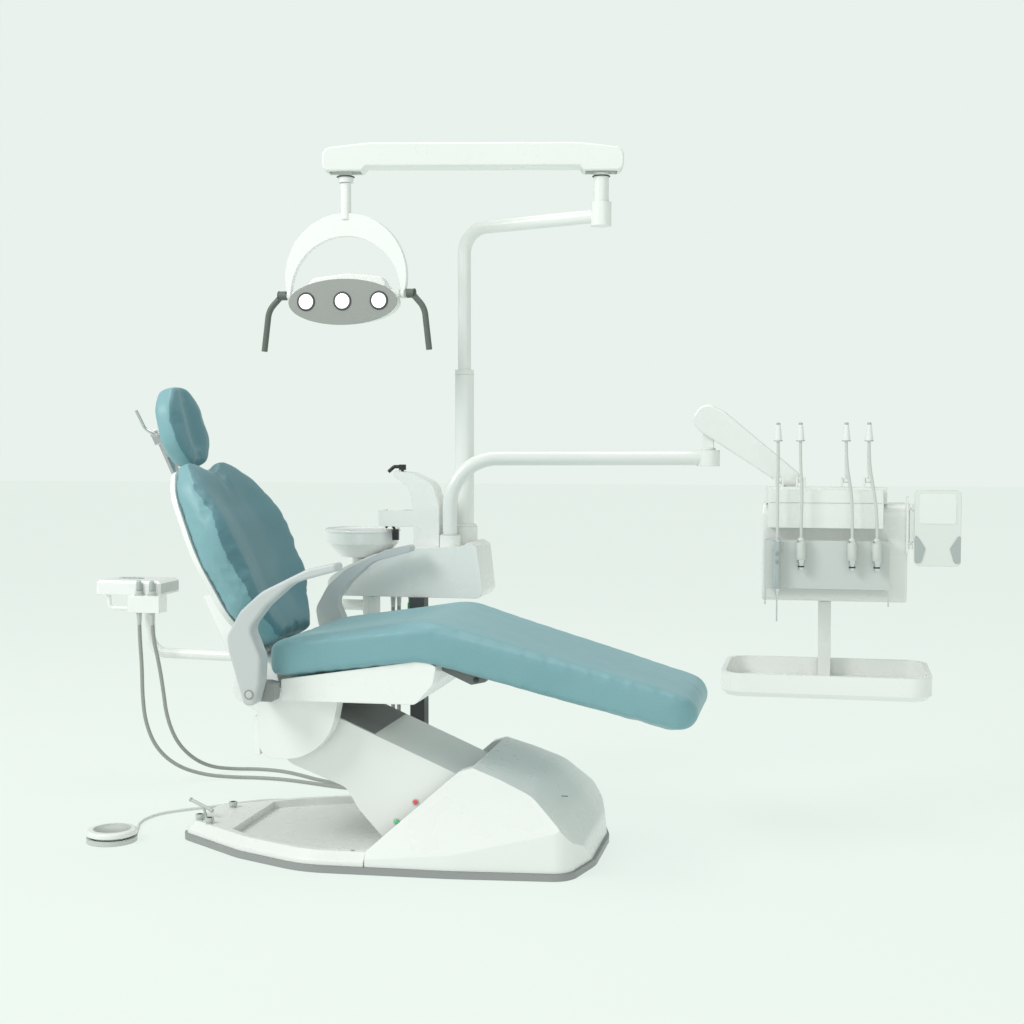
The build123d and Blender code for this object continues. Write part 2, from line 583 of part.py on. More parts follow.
def balance_arm():
    """The balanced arm, slotted around the knuckle's and the stem's tongues, with its two pins."""
    x0, z0 = KNUCKLE_AT[0], TILT_Z
    x1, z1 = STEM_AT[0], STEM_PIVOT_Z
    lean = math.degrees(math.atan2(z1 - z0, x1 - x0))
    n = math.dist((x0, z0), (x1, z1))
    y = KNUCKLE_AT[1]
    side = [(-42, -24, 30), (-42, 40, 36), (20, 48, 40), (n + 24, 26, 20), (n + 24, -23, 20), (-4, -34, 30)]
    arm = side_plate(side, y - 33, y + 33)
    arm = fillet(arm.faces().sort_by(Axis.Y)[0].edges(), 6)
    arm -= box(-90, 78, y - 11, y + 11, -60, 24) + box(n - 62, n + 60, y - 11, y + 11, -60, 20)
    arm += cross_rod((0, 0), y - 20, y + 20, 8) + cross_rod((n, 0), y - 20, y + 20, 8)
    return Pos(x0, 0, z0) * Rot(0, -lean, 0) * arm


def console_stem():
    """The levelled post under the balanced arm that the console turns on."""
    x, y = STEM_AT
    stem = post(STEM_AT, 700, STEM_PIVOT_Z - 50, 14)
    stem += box(x - 12, x + 12, y - 9, y + 9, STEM_PIVOT_Z - 52, STEM_PIVOT_Z)
    stem += cross_rod((x, STEM_PIVOT_Z), y - 9, y + 9, 16)
    return stem - cross_rod((x, STEM_PIVOT_Z), y - 12, y + 12, 8 + FIT)


def console_body():
    """The console's hollow housing with its front control box, whip bosses and tray post."""
    side = [(536, 566, 20), (536, 800, 30), (545, 830, 30), (690, 830, 30), (700, 620, 40), (660, 566, 30)]
    face = outline(side)
    x0, x1 = CONSOLE_X
    housing = Plane(origin=(x0, 0, 0), x_dir=(0, 1, 0), z_dir=(1, 0, 0)) * extrude(face, x1 - x0)
    housing = fillet(housing.faces().sort_by(Axis.X)[0].edges() + housing.faces().sort_by(Axis.X)[-1].edges(), 6)
    void = [(542, 574, 0), (542, 798, 0), (552, 823, 0), (684, 823, 0), (693, 622, 0), (656, 574, 0)]
    housing -= Plane(origin=(x0 + 8, 0, 0), x_dir=(0, 1, 0), z_dir=(1, 0, 0)) * extrude(outline(void), x1 - x0 - 16)
    front = box(880, 1180, 496, 538, 766, 868) - box(884, 1176, 500, 560, 772, 863)
    top = box(872, 1190, 538, 574, 829, WHIP_PIVOT_Z - 18)
    housing += front + top
    housing += post(STEM_AT, 690, 832, 24) - post(STEM_AT, 694, 842, 14 + FIT)
    housing -= post(STEM_AT, 694, 842, 14 + FIT)
    for wx in WHIP_X:
        for dx in (-13, 7):
            housing += box(wx + dx, wx + dx + 6, WHIP_Y - 10, WHIP_Y + 10, WHIP_PIVOT_Z - 20, WHIP_PIVOT_Z + 8)
        housing += rod((wx - 12, WHIP_Y, WHIP_PIVOT_Z), (wx + 12, WHIP_Y, WHIP_PIVOT_Z), 3)
    housing += box(x1 - 5, x1 + 1, 520, 560, 700, 850)
    hx, hy = VIEWER_HINGE
    for z in (712, 820):
        housing += post(VIEWER_HINGE, z, z + 12, 5) + box(x1 - 2, hx, hy - 4, hy + 4, z, z + 12)
    housing += post(VIEWER_HINGE, 712, 832, 3)
    housing += post(TRAY_AXIS, 560, 580, 24)
    return housing - post(TRAY_AXIS, 556, 576, 12 + FIT)


def instrument_panel():
    """The grey holder plate with a side cheek at each end."""
    plate = box(874, 1194, PANEL_Y, PANEL_Y + 4, 605, 734)
    cheek = [(PANEL_Y, 562), (PANEL_Y, 734), (534, 734), (534, 640)]
    for x in (872, 1192):
        side = make_face(Polyline(*cheek, close=True))
        plate += Plane(origin=(x, 0, 0), x_dir=(0, 1, 0), z_dir=(1, 0, 0)) * extrude(side, 4)
    return plate


def whip_arm(x):
    """One hose whip: its pivot eye, the slim rod and the head that the hose hangs from."""
    eye = rod((x - 6.5, WHIP_Y, WHIP_PIVOT_Z), (x + 6.5, WHIP_Y, WHIP_PIVOT_Z), 7)
    rods = rod((x, WHIP_Y, WHIP_PIVOT_Z + 2), (x, 488, 1006), 3.5)
    head = Pos(x, 466, 1018) * Cone(11, 6, 44)
    neck = rod((x, 492, 1004), (x, 470, 1012), 6)
    return eye + rods + head + neck - rod((x - 20, WHIP_Y, WHIP_PIVOT_Z), (x + 20, WHIP_Y, WHIP_PIVOT_Z), 3 + FIT)


def hose_route(index):
    """From the whip's head straight down to the handpiece's coupling."""
    x0 = WHIP_X[index]
    x1 = HOSE_X[index]
    bend = (0, 6, 14, 14)[index]
    return [(x0, HANG_Y, 995.5), (x0, HANG_Y, 940), (x0 + bend, HANG_Y + 2, 866), (x1, HANG_Y, 800),
            (x1, HANG_Y, 736.5)]


def handpieces():
    """The syringe with its slim tip, and the empty couplings at the lower ends of the other three hoses."""
    x = HOSE_X[0]
    syringe = post((x, HANG_Y), 600, 736, 9) + post((x, HANG_Y), 588, 601, 5) + post((x, HANG_Y), 519, 589, 2.2)
    parts = [syringe]
    for x in HOSE_X[1:]:
        parts.append(post((x, HANG_Y), 676, 736, 11) + post((x, HANG_Y), 658, 677, 8))
    return Compound(children=parts)


def film_viewer():
    """The flat film viewer on its hinge at the console's right end."""
    hx, hy = VIEWER_HINGE
    panel = box(hx + 8, hx + 126, hy - 14, hy + 12, 668, 868)
    panel = fillet(panel.edges().filter_by(Axis.Y), 14)
    panel += box(hx, hx + 10, hy - 6, hy + 6, 732, 812)
    return panel + post(VIEWER_HINGE, 728, 816, 6) - post(VIEWER_HINGE, 700, 840, 3 + FIT)


def instrument_tray():
    """The tray, its column and the pin that turns in the console."""
    plan = [(766, 334, 60), (1302, 334, 60), (1302, 676, 60), (766, 676, 60)]
    tray = plan_plate(plan, 336, 396)
    tray = chamfer(tray.faces().sort_by(Axis.Z)[0].edges(), 12)
    inner = [(778, 346, 50), (1290, 346, 50), (1290, 664, 50), (778, 664, 50)]
    tray -= plan_plate(inner, 350, 400)
    column = box(1013, 1047, 622, 656, 345, 558)
    return tray + column + post(TRAY_AXIS, 556, 574, 12)


# ======================================================================= assistant's element

def assistant_arm():
    """One bent tube from the unit's underside, low behind the chair, to the console's foot."""
    x, y = ASSIST_AT
    route = [(x, y, 540), (x - 140, y + 8, 540), (x - 140, y + 12, 378), (-905, 500, 378), (-905, 500, 552)]
    tube = bent_tube(route, [55, 55, 55], 15)
    hub = post(ASSIST_AT, 516, 566, 24)
    return tube + hub - post(ASSIST_AT, 500, 570, 11 + FIT)


def assistant_console():
    """The console with the holder block and the grab handle under it."""
    plan = [(-1046, 432, 14), (-842, 432, 14), (-842, 572, 14), (-1030, 572, 14)]
    body = plan_plate(plan, 552, 594)
    body = chamfer(body.faces().sort_by(Axis.Z)[-1].edges(), 8)
    block = box(-932, -834, 410, 462, 504, 553)
    handle = bent_tube([(-1008, 446, 552), (-1004, 446, 512), (-946, 446, 512), (-930, 446, 530)], [14, 12], 6.5)
    holder = body + block + handle
    for x in (-902, -862):
        holder -= post((x, 424), 500, 600, 10.6)
    return holder


def suction_handpieces():
    """The saliva ejector and the suction tip in their holders."""
    parts = []
    for x in (-902, -862):
        parts.append(post((x, 424), 502, 566, 10) + post((x, 424), 565, 590, 6.5))
    return Compound(children=parts)


SUCTION_A = [(-902, 424, 501.5), (-902, 424, 440), (-897, 427, 350), (-898, 430, 260), (-892, 436, 180), (-866, 450, 104),
             (-816, 480, 48), (-748, 524, 16), (-672, 556, 6), (-588, 566, 6), (-500, 556, 6), (-416, 528, 6),
             (-330, 500, 6), (-254, 480, 8), (-194, 464, 28), (-160, 455, 84), (-148, 452, 160), (-151, 450, 250),
             (-148, 452, 345), (-151, 450, 430), (-149, 451, 510), (-149, 451, 571.5)]
SUCTION_B = [(-862, 424, 501.5), (-862, 424, 440), (-846, 430, 360), (-838, 440, 280), (-834, 452, 200), (-818, 480, 122),
             (-792, 534, 62), (-760, 596, 24), (-712, 652, 8), (-640, 676, 6), (-560, 664, 6), (-486, 622, 6),
             (-414, 572, 6), (-330, 534, 6), (-248, 512, 8), (-188, 500, 28), (-154, 490, 84), (-142, 486, 160),
             (-144, 484, 250), (-141, 486, 345), (-144, 484, 430), (-142, 485, 510), (-142, 485, 571.5)]
PEDAL_HOSE = [(-668, -92, 6.5), (-680, -52, 5), (-704, 0, 4.5), (-712, 62, 4.5), (-694, 122, 4.5), (-646, 172, 4.5),
              (-590, 214, 4.5), (-540, 262, 4.5), (-488, 308, 4.5), (-426, 330, 4.5), (-358, 326, 4.5),
              (-300, 324, 4.5), (-248, 320, 6), (-200, 318, 8)]


# ======================================================================= foot controls

def pedal_base():
    return post(PEDAL_AT, 0, 12, 62) - post(PEDAL_AT, 4, 14, 55)


def pedal_cap():
    x, y = PEDAL_AT
    cap = post(PEDAL_AT, 18, 31, 62)
    cap = fillet(cap.faces().sort_by(Axis.Z)[-1].edges(), 7)
    return cap + post(PEDAL_AT, 12, 19, 50) - post(PEDAL_AT, 10, 26, 44)


def joystick():
    x, y, z = JOYSTICK_AT
    ball = Pos(x, y, z) * Sphere(8)
    stem = rod((x, y, z), (x - 8, y + 2, z + 24), 3.5)
    bar = rod((x - 44, y + 6, z + 45), (x + 14, y - 2, z + 23), 4.5)
    return ball + stem + bar


def foot_button(at):
    stem = post(at, DECK_TOP - 4, DECK_TOP + 9, 8)
    return stem + post(at, DECK_TOP + 6, DECK_TOP + 15, 11)


def deck_with_sockets():
    cover = deck_cover()
    for at in FOOT_BUTTONS.values():
        cover -= post(at, DECK_TOP - 12, DECK_TOP + 20, 8 + FIT)
    return cover - Pos(*JOYSTICK_AT) * (Sphere(8 + FIT) + Pos(0, 0, 11) * Cone(6, 20, 20))


write("base_plate", base_plate())
write("deck_cover", deck_with_sockets())
write("nose_cover", nose_cover())
write("lift_actuator", lift_actuator())
write("lift_arm", lift_arm())
write("parallel_rod", parallel_rod())
write("seat_carriage", seat_carriage())
write("seat_cover", seat_cover())
write("seat_cushion", seat_cushion())
write("armrest_near", armrest(-1))
write("armrest_far", armrest(1))
write("armrest_brackets", armrest_brackets())
write("back_shell", back_shell())
write("back_cushion", back_cushion())
write("headrest_bar", headrest_bar())
write("headrest_mount", headrest_mount())
write("headrest_cushion", headrest_cushion())
write("unit_column", unit_column())
write("unit_body", unit_body())
write("cuspidor_bowl", cuspidor_bowl())
write("water_spout", water_spout())
write("pole_lower", pole_lower())
write("lamp_pole", lamp_pole())
write("lamp_elbow", lamp_elbow())
write("lamp_bar", lamp_bar())
write("lamp_hanger", lamp_hanger())
write("lamp_yoke", lamp_yoke())
write("lamp_head", lamp_head())
write("lamp_face", lamp_face())
write("lamp_lenses", lamp_lenses())
write("lamp_handles", lamp_handles())
write("delivery_arm", delivery_arm())
write("balance_knuckle", balance_knuckle())
write("balance_arm", balance_arm())
write("console_stem", console_stem())
write("console_body", console_body())
write("instrument_panel", instrument_panel())
for index, x in enumerate(WHIP_X):
    write(f"whip_arm_{index + 1}", whip_arm(x))
    write(f"handpiece_hose_{index + 1}", hose(f"handpiece_hose_{index + 1}", hose_route(index), HANDPIECE_HOSE_R))
write("handpieces", handpieces())
write("film_viewer", film_viewer())
write("instrument_tray", instrument_tray())
write("assistant_arm", assistant_arm())
write("assistant_console", assistant_console())
write("suction_handpieces", suction_handpieces())
write("suction_hose_a", hose("suction_hose_a", SUCTION_A, SUCTION_HOSE_R))
write("suction_hose_b", hose("suction_hose_b", SUCTION_B, SUCTION_HOSE_R))
write("pedal_base", pedal_base())
write("pedal_cap", pedal_cap())
write("pedal_hose", hose("pedal_hose", PEDAL_HOSE, PEDAL_HOSE_R))
write("joystick", joystick())
for name, at in FOOT_BUTTONS.items():
    write(name, foot_button(at))
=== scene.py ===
import json
import math

import bmesh
import bpy
from mathutils import Matrix, Vector


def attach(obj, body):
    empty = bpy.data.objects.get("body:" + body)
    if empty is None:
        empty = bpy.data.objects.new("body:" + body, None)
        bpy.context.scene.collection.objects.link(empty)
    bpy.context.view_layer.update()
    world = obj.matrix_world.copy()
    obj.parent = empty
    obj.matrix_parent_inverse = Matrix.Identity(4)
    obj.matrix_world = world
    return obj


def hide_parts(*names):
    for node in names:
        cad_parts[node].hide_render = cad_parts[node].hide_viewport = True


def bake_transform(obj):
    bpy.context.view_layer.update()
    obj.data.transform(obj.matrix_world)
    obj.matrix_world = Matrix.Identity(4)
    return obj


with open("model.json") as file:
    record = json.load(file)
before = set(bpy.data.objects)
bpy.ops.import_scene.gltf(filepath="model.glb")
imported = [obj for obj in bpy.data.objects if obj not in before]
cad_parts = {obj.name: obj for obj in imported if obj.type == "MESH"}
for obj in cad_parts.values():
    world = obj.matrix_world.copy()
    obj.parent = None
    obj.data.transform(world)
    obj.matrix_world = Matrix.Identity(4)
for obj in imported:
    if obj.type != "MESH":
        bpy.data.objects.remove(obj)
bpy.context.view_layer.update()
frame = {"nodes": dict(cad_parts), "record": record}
NODES = frame["nodes"]
MM = 0.001

# ---------------------------------------------------------------- camera, where the photograph was taken from
LENS_MM = 52.73
CAMERA_AT = (1.043, -3.561, 1.0)
CAMERA_PITCH = 90 - 2.75
CAMERA_TURN = 12


def make_camera():
    data = bpy.data.cameras.new("camera")
    data.lens = LENS_MM
    data.sensor_width = 36
    camera = bpy.data.objects.new("camera", data)
    camera.location = CAMERA_AT
    camera.rotation_euler = (math.radians(CAMERA_PITCH), 0, math.radians(CAMERA_TURN))
    bpy.context.collection.objects.link(camera)
    bpy.context.scene.camera = camera


make_camera()


# ---------------------------------------------------------------- materials
def linear(r, g, b):
    """An sRGB colour, 0 to 255, as the linear colour that Blender takes."""
    made = []
    for c in (r, g, b):
        c = c / 255
        made.append(c / 12.92 if c < 0.04045 else ((c + 0.055) / 1.055) ** 2.4)
    return (*made, 1)


def blank(name):
    made = bpy.data.materials.new(name)
    made.use_nodes = True
    nodes = made.node_tree.nodes
    return made, nodes, made.node_tree.links, nodes["Principled BSDF"]


def object_coords(nodes, links, scale):
    where = nodes.new("ShaderNodeTexCoord")
    mapping = nodes.new("ShaderNodeMapping")
    mapping.inputs["Scale"].default_value = scale if hasattr(scale, "__len__") else (scale,) * 3
    links.new(where.outputs["Object"], mapping.inputs["Vector"])
    return mapping.outputs["Vector"]


def noise(nodes, links, coords, scale, detail=3, rough=0.5):
    made = nodes.new("ShaderNodeTexNoise")
    made.inputs["Scale"].default_value = scale
    made.inputs["Detail"].default_value = detail
    made.inputs["Roughness"].default_value = rough
    links.new(coords, made.inputs["Vector"])
    return made.outputs["Fac"]


def blended(nodes, links, factor, one, two):
    """Colour one to two by a factor."""
    mix = nodes.new("ShaderNodeMix")
    mix.data_type = "RGBA"
    links.new(factor, mix.inputs["Factor"])
    for socket, colour in ((mix.inputs[6], one), (mix.inputs[7], two)):
        if hasattr(colour, "is_linked"):
            links.new(colour, socket)
        else:
            socket.default_value = colour
    return mix.outputs[2]


def spread(nodes, links, value, low, high, out_low=0.0, out_high=1.0):
    made = nodes.new("ShaderNodeMapRange")
    made.inputs["From Min"].default_value = low
    made.inputs["From Max"].default_value = high
    made.inputs["To Min"].default_value = out_low
    made.inputs["To Max"].default_value = out_high
    links.new(value, made.inputs["Value"])
    return made.outputs["Result"]


def bumped(nodes, links, shader, height, strength, distance, edge=None):
    bump = nodes.new("ShaderNodeBump")
    bump.inputs["Strength"].default_value = strength
    bump.inputs["Distance"].default_value = distance
    links.new(height, bump.inputs["Height"])
    if edge:
        bevel = nodes.new("ShaderNodeBevel")
        bevel.samples = 6
        bevel.inputs["Radius"].default_value = edge
        links.new(bevel.outputs["Normal"], bump.inputs["Normal"])
    links.new(bump.outputs["Normal"], shader.inputs["Normal"])


def shade(colour, share):
    return tuple(min(1.0, c * share) for c in colour[:3]) + (1,)


def plastic(name, colour, rough=0.3, grain=0.02, coat=0.25, edge=0.0025, metallic=0.0):
    """Moulded or painted surface: a faint mould grain, slow colour drift, a lighter colour along convex edges, and
    rounded edges.
    """
    made, nodes, links, shader = blank(name)
    coords = object_coords(nodes, links, 1)
    drift = noise(nodes, links, coords, 2.3, 2)
    fine = noise(nodes, links, coords, 900, 2)
    convexity = nodes.new("ShaderNodeNewGeometry").outputs["Pointiness"]
    base = blended(nodes, links, drift, shade(colour, 0.975), shade(colour, 1.02))
    # the colour is made lighter where the surface is convex, along its edges
    tint = blended(nodes, links, spread(nodes, links, convexity, 0.53, 0.62, 0, 0.35), base, shade(colour, 1.12))
    links.new(tint, shader.inputs["Base Color"])
    links.new(spread(nodes, links, noise(nodes, links, coords, 11, 3), 0.3, 0.7, rough * 0.85, rough * 1.2),
              shader.inputs["Roughness"])
    shader.inputs["Metallic"].default_value = metallic
    shader.inputs["Coat Weight"].default_value = coat
    shader.inputs["Coat Roughness"].default_value = 0.12
    bumped(nodes, links, shader, fine, grain, 0.0004, edge)
    return made


def metal(name, colour, rough=0.25, brushed=(1, 1, 60)):
    """Bright or brushed metal, with its brushing along one direction."""
    made, nodes, links, shader = blank(name)
    coords = object_coords(nodes, links, brushed)
    lines = noise(nodes, links, coords, 60, 4, 0.7)
    links.new(blended(nodes, links, lines, shade(colour, 0.9), shade(colour, 1.05)), shader.inputs["Base Color"])
    links.new(spread(nodes, links, lines, 0.3, 0.7, rough * 0.7, rough * 1.4), shader.inputs["Roughness"])
    shader.inputs["Metallic"].default_value = 1
    bumped(nodes, links, shader, lines, 0.05, 0.0003, 0.001)
    return made


def upholstery(name, colour, second):
    """Soft coated fabric: a pebbled grain, fine pores, wide soft creases and a slow change of colour."""
    made, nodes, links, shader = blank(name)
    coords = object_coords(nodes, links, 1)
    pebbles = nodes.new("ShaderNodeTexVoronoi")
    pebbles.feature = "SMOOTH_F1"
    pebbles.inputs["Scale"].default_value = 620
    links.new(coords, pebbles.inputs["Vector"])
    creases = noise(nodes, links, coords, 16, 5, 0.55)
    drift = noise(nodes, links, coords, 3.1, 3)
    body = blended(nodes, links, spread(nodes, links, drift, 0.35, 0.65), colour, second)
    pores = spread(nodes, links, pebbles.outputs["Distance"], 0.0, 0.6, 0, 0.28)
    links.new(blended(nodes, links, pores, body, shade(colour, 0.62)), shader.inputs["Base Color"])
    links.new(spread(nodes, links, creases, 0.3, 0.7, 0.40, 0.54), shader.inputs["Roughness"])
    shader.inputs["Sheen Weight"].default_value = 0.12
    shader.inputs["Sheen Roughness"].default_value = 0.45
    shader.inputs["Coat Weight"].default_value = 0.06
    shader.inputs["Coat Roughness"].default_value = 0.4
    total = nodes.new("ShaderNodeMath")
    total.operation = "MULTIPLY_ADD"
    total.inputs[1].default_value = -0.3
    links.new(pebbles.outputs["Distance"], total.inputs[0])
    links.new(creases, total.inputs[2])
    bumped(nodes, links, shader, total.outputs[0], 0.22, 0.0014)
    return made


def rubber(name, colour, rough=0.55):
    """Hose and grip rubber, dull, with a fine speckle."""
    made, nodes, links, shader = blank(name)
    coords = object_coords(nodes, links, 1)
    speckle = noise(nodes, links, coords, 420, 3)
    links.new(blended(nodes, links, speckle, shade(colour, 0.88), shade(colour, 1.08)), shader.inputs["Base Color"])
    links.new(spread(nodes, links, noise(nodes, links, coords, 18, 2), 0.3, 0.7, rough * 0.85, rough * 1.15),
              shader.inputs["Roughness"])
    bumped(nodes, links, shader, speckle, 0.12, 0.0004, 0.001)
    return made


def glowing(name, colour, strength):
    """A lit lens or lamp, with a fine pattern of facets."""
    made, nodes, links, shader = blank(name)
    coords = object_coords(nodes, links, 1)
    facets = nodes.new("ShaderNodeTexVoronoi")
    facets.inputs["Scale"].default_value = 260
    links.new(coords, facets.inputs["Vector"])
    tone = blended(nodes, links, spread(nodes, links, facets.outputs["Distance"], 0, 0.6), colour, shade(colour, 0.86))
    links.new(tone, shader.inputs["Base Color"])
    links.new(tone, shader.inputs["Emission Color"])
    shader.inputs["Emission Strength"].default_value = strength
    shader.inputs["Roughness"].default_value = 0.12
    shader.inputs["Coat Weight"].default_value = 1
    return made


WHITE = linear(238, 240, 237)
M = {
    "white": plastic("white_shell", WHITE, 0.28),
    "white_paint": plastic("white_paint", linear(236, 238, 235), 0.34, 0.05, 0.35, 0.0018),
    "edge_grey": plastic("edge_grey", linear(150, 152, 151), 0.42, 0.06, 0.1),
    "soft_grey": plastic("soft_grey", linear(196, 200, 196), 0.45, 0.06, 0.05),
    "dark": plastic("dark_paint", linear(66, 69, 72), 0.5, 0.12, 0.0, 0.0015),
    "black": plastic("black_plastic", linear(34, 35, 37), 0.4, 0.1, 0.1, 0.001),
    "motor": plastic("motor_paint", linear(92, 95, 98), 0.5, 0.15, 0.0, 0.002, 0.3),
    "arm_grey": plastic("armrest_shell", linear(196, 201, 202), 0.38, 0.06, 0.1, 0.004),
    "lamp_grey": plastic("lamp_face_grey", linear(156, 159, 155), 0.3, 0.03, 0.3, 0.002),
    "panel_grey": plastic("panel_grey", linear(203, 208, 205), 0.4, 0.05, 0.1, 0.0015),
    "viewer": plastic("viewer_white", linear(226, 231, 226), 0.3, 0.02, 0.2, 0.003),
    "bowl": plastic("bowl_glaze", linear(240, 242, 240), 0.12, 0.01, 0.8, 0.002),
    "leather": upholstery("teal_upholstery", linear(126, 172, 180), linear(134, 180, 187)),
    # a darker copy of the teal: painted shade for the cushion fronts that face away from the key light
    "leather_painted_shade": upholstery("teal_upholstery_painted_shade", linear(88, 134, 145), linear(96, 143, 153)),
    "steel": metal("brushed_steel", linear(190, 192, 192), 0.3),
    "chrome": metal("bright_chrome", linear(222, 224, 225), 0.12, (1, 1, 8)),
    "hose_grey": rubber("hose_grey", linear(158, 161, 156), 0.5),
    "hose_white": rubber("hose_white", linear(212, 216, 211), 0.45),
    "grip": rubber("grip_rubber", linear(98, 105, 98), 0.5),
    "lens": glowing("lit_lens", linear(255, 254, 250), 1.6),
    "red": glowing("red_light", linear(214, 52, 44), 0.5),
    "green": glowing("green_light", linear(64, 190, 118), 0.5),
    "green_plastic": plastic("green_plastic", linear(52, 160, 92), 0.35),
    # one grey for the real dark knee bracket and for the painted shadow laid on the lift arm's top
    "painted_shadow_and_bracket": plastic("painted_shadow_and_bracket_grey", linear(120, 122, 122), 0.55, 0.12, 0.0, 0.001),
    "viewer_glass": plastic("viewer_glass", linear(238, 242, 238), 0.15, 0.01, 0.8, 0.001),
    "key": plastic("key_grey", linear(150, 160, 166), 0.4, 0.05, 0.1, 0.001),
    "clear_grey": plastic("clear_grey", linear(176, 184, 183), 0.18, 0.02, 0.6, 0.001),
}
BY_SLOT = {
    "white_shell": "white", "white_metal": "white_paint", "grey_cap": "soft_grey", "grey_steel": "edge_grey",
    "dark_metal": "dark", "steel": "steel", "chrome": "chrome", "upholstery": "leather", "arm_grey": "arm_grey",
    "lamp_grey": "lamp_grey", "lens": "lens", "grip_grey": "grip", "panel_grey": "panel_grey",
    "hose_grey": "hose_grey", "hose_white": "hose_white", "bowl_white": "bowl", "black_plastic": "black",
    "motor_grey": "motor", "viewer_white": "viewer",
}
for entry in frame["record"]["subparts"]:
    for place in NODES[entry["node"]].material_slots:
        place.material = M[BY_SLOT[entry["material_slot"]]]


# ---------------------------------------------------------------- making pieces
CURVE_STEPS = 10
CORNER_STEPS = 6


def add(name, mesh, material, body):
    """A finished mesh, as a piece that rides on a CAD body."""
    made = bpy.data.objects.new(name, mesh)
    bpy.context.collection.objects.link(made)
    made.data.materials.clear()
    made.data.materials.append(M[material])
    made.data.polygons.foreach_set("use_smooth", [True] * len(made.data.polygons))
    if body:
        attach(made, body)
    return made


def applied(made, *modifiers):
    """The object's mesh with these (type, settings) modifiers applied."""
    for kind, settings in modifiers:
        modifier = made.modifiers.new(kind.lower(), kind)
        for key, value in settings.items():
            setattr(modifier, key, value)
    done = bpy.data.meshes.new_from_object(made.evaluated_get(bpy.context.evaluated_depsgraph_get()))
    made.modifiers.clear()
    return done


def spline_curve(name, points, radius):
    """A NURBS curve with these control points, in metres."""
    data = bpy.data.curves.new(name, "CURVE")
    data.dimensions = "3D"
    data.resolution_u = CURVE_STEPS
    data.bevel_depth = radius
    data.bevel_resolution = 5
    data.use_fill_caps = True
    spline = data.splines.new("NURBS")
    spline.points.add(len(points) - 1)
    for spot, place in zip(spline.points, points):
        spot.co = (*place, 1)
    spline.order_u = 3
    spline.use_endpoint_u = True
    made = bpy.data.objects.new(name, data)
    bpy.context.collection.objects.link(made)
    return made


def curve_to_mesh(made):
    mesh = bpy.data.meshes.new_from_object(made.evaluated_get(bpy.context.evaluated_depsgraph_get()))
    bpy.data.objects.remove(made)
    return mesh


def smooth_tube(name, points, radius, material, body):
    mesh = curve_to_mesh(spline_curve(name + "_line", points, radius))
    return add(name, mesh, material, body)


def turned(name, profile, at, axis, material, body, segments=48):
    """A lathe-turned piece: (radius, height) pairs in mm around an axis through a point in mm."""
    mesh = bpy.data.meshes.new(name)
    shape = bmesh.new()
    rings = []
    for radius, height in profile:
        ring = []
        for step in range(segments):
            a = 2 * math.pi * step / segments
            ring.append(shape.verts.new((radius * math.cos(a), radius * math.sin(a), height)))
        rings.append(ring)
    for low, high in zip(rings, rings[1:]):
        for step in range(segments):
            after = (step + 1) % segments
            shape.faces.new((low[step], low[after], high[after], high[step]))
    shape.faces.new(list(reversed(rings[0])))
    shape.faces.new(rings[-1])
    bmesh.ops.recalc_face_normals(shape, faces=shape.faces)
    turn = Vector((0, 0, 1)).rotation_difference(Vector(axis)).to_matrix().to_4x4()
    place = Matrix.Translation(Vector(at) * MM) @ turn @ Matrix.Scale(MM, 4)
    bmesh.ops.transform(shape, matrix=place, verts=shape.verts)
    shape.to_mesh(mesh)
    shape.free()
    return add(name, mesh, material, body)


def rounded_outline(points):
    """Points of a closed outline of (x, y, corner radius), its corners rounded."""
    made = []
    count = len(points)
    for k in range(count):
        before, here, after = (Vector(points[(k + d) % count][:2]) for d in (-1, 0, 1))
        radius = points[k][2]
        if radius <= 0:
            made.append(here)
            continue
        one, two = (before - here).normalized(), (after - here).normalized()
        half = one.angle(two) / 2
        reach = min(radius / math.tan(half), 0.49 * (before - here).length, 0.49 * (after - here).length)
        start, end = here + one * reach, here + two * reach
        for step in range(CORNER_STEPS + 1):
            t = step / CORNER_STEPS
            made.append(start * (1 - t) ** 2 + here * 2 * t * (1 - t) + end * t ** 2)
    return made


def slab(name, points, depth, place, material, body, bevel=1.0):
    """A plate in mm: an outline in its own X and Y, its thickness along its own Z, put at a matrix."""
    mesh = bpy.data.meshes.new(name)
    shape = bmesh.new()
    verts = [shape.verts.new((p.x, p.y, 0)) for p in rounded_outline(points)]
    face = shape.faces.new(verts)
    grown = bmesh.ops.extrude_face_region(shape, geom=[face])
    moved = [v for v in grown["geom"] if isinstance(v, bmesh.types.BMVert)]
    bmesh.ops.translate(shape, verts=moved, vec=(0, 0, depth))
    bmesh.ops.recalc_face_normals(shape, faces=shape.faces)
    sharp = [e for e in shape.edges if len(e.link_faces) == 2 and e.calc_face_angle(0) > 0.8]
    if bevel:
        bmesh.ops.bevel(shape, geom=sharp, offset=bevel, segments=3, affect="EDGES", profile=0.7)
    bmesh.ops.transform(shape, matrix=place @ Matrix.Scale(MM, 4), verts=shape.verts)
    shape.to_mesh(mesh)
    shape.free()
    return add(name, mesh, material, body)


def at_mm(x, y, z, turn=(0, 0, 0)):
    """A place in mm, turned by these degrees about X, Y and Z."""
    spin = Matrix.Identity(4)
    for angle, axis in zip(turn, "XYZ"):
        spin = Matrix.Rotation(math.radians(angle), 4, axis) @ spin
    return Matrix.Translation(Vector((x, y, z)) * MM) @ spin


def block(name, low, high, material, body, bevel=2.0, corner=0.0):
    """A bevelled block between two corners in mm."""
    x, y, z = (b - a for a, b in zip(low, high))
    outline = [(0, 0, corner), (x, 0, corner), (x, y, corner), (0, y, corner)]
    return slab(name, outline, z, at_mm(*low), material, body, bevel)


